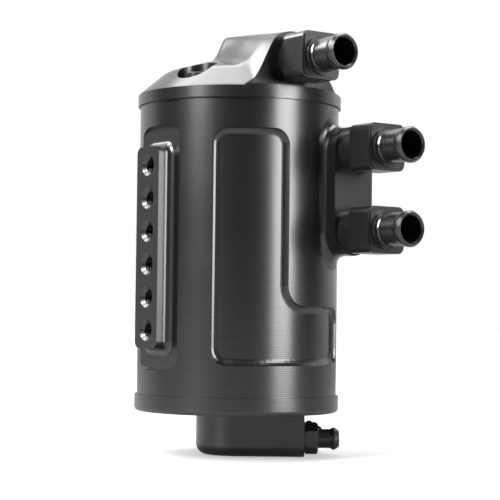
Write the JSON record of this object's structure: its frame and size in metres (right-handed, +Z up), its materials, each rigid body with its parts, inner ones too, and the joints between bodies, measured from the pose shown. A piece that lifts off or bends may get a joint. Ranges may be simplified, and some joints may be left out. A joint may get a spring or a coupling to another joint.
{
  "type": "oil catch can",
  "caption": "Cylindrical black metal oil catch can with a threaded side rail, recessed front, square-block hose ports on boss and lid tower, and a sump with a drain tap.",
  "frame": {"origin": "centre of the flat underside of the sump, on the can's axis", "axes": "+Z up along the can, -Y towards the hose ports, -X towards the mounting rail"},
  "size_m": [0.1065, 0.1506, 0.2099],
  "materials": {
    "black_anodised": "satin black anodised aluminium with fine turning marks",
    "adapter_black": "satin black anodised aluminium",
    "black_steel": "black oxide steel",
    "plain_aluminium": "plain machined aluminium",
    "stainless": "plain stainless steel",
    "seal_rubber": "matte nitrile rubber"
  },
  "bodies": {
    "can": {"body": "black_anodised", "mounting_rail": "black_anodised", "lid": "black_anodised", "base": "black_anodised", "lid_seal": "seal_rubber", "base_seal": "seal_rubber", "lid_screws": "black_steel", "base_screws": "black_steel", "outlet_adapter": "adapter_black", "upper_inlet_adapter": "adapter_black", "lower_inlet_adapter": "adapter_black", "outlet_seal": "seal_rubber", "upper_inlet_seal": "seal_rubber", "lower_inlet_seal": "seal_rubber", "swirl_tube": "plain_aluminium", "mesh_pack": "stainless", "upper_screen": "stainless", "lower_screen": "stainless", "screen_clip": "stainless", "baffle_plate": "plain_aluminium", "baffle_standoffs": "plain_aluminium", "baffle_screws": "stainless", "drain_fitting": "adapter_black", "drain_washer": "seal_rubber"},
    "tap": {"tap_stem": "stainless", "tap_seal": "seal_rubber", "tap_knob": "adapter_black", "knob_screw": "stainless"}
  },
  "joints": [
    {"name": "tap_turn", "type": "hinge", "parent": "can", "child": "tap", "pos_m": [0.03066, -0.02228, 0.0082], "axis": [0.5878, 0.809, 0], "range_deg": [0, 90]}
  ]
}
